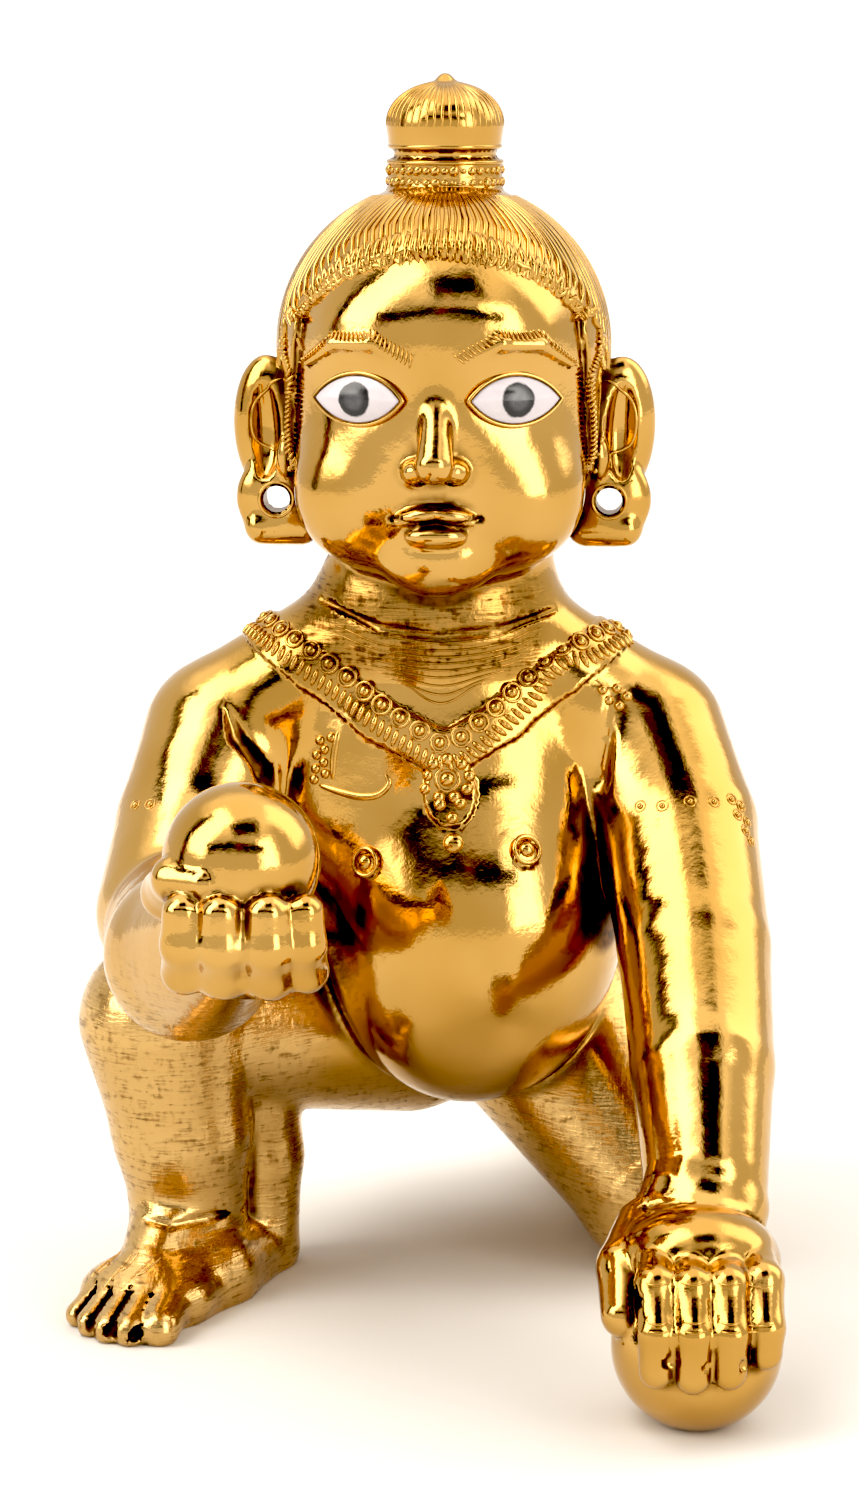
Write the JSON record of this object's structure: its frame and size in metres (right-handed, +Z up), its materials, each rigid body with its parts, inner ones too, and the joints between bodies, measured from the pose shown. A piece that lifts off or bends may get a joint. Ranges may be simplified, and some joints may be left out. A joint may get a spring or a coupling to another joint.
{
  "type": "laddu gopal idol",
  "caption": "Solid brass figure of a crawling infant with a hair knot, inlaid enamel eyes and a round sweet in each hand.",
  "frame": {"origin": "middle of the figure's bounding box seen from above, on the plane it stands on", "axes": "+Z up, -Y the way the face looks, +X towards the figure's left side, where the lower hand leans"},
  "size_m": [0.0713, 0.1096, 0.1246],
  "materials": {
    "brass": "polished, with chased lines and dark recesses",
    "enamel": "glossy white enamel with a painted pupil"
  },
  "bodies": {
    "root": {"figure": "brass", "eye_left": "enamel", "eye_right": "enamel"}
  },
  "joints": []
}
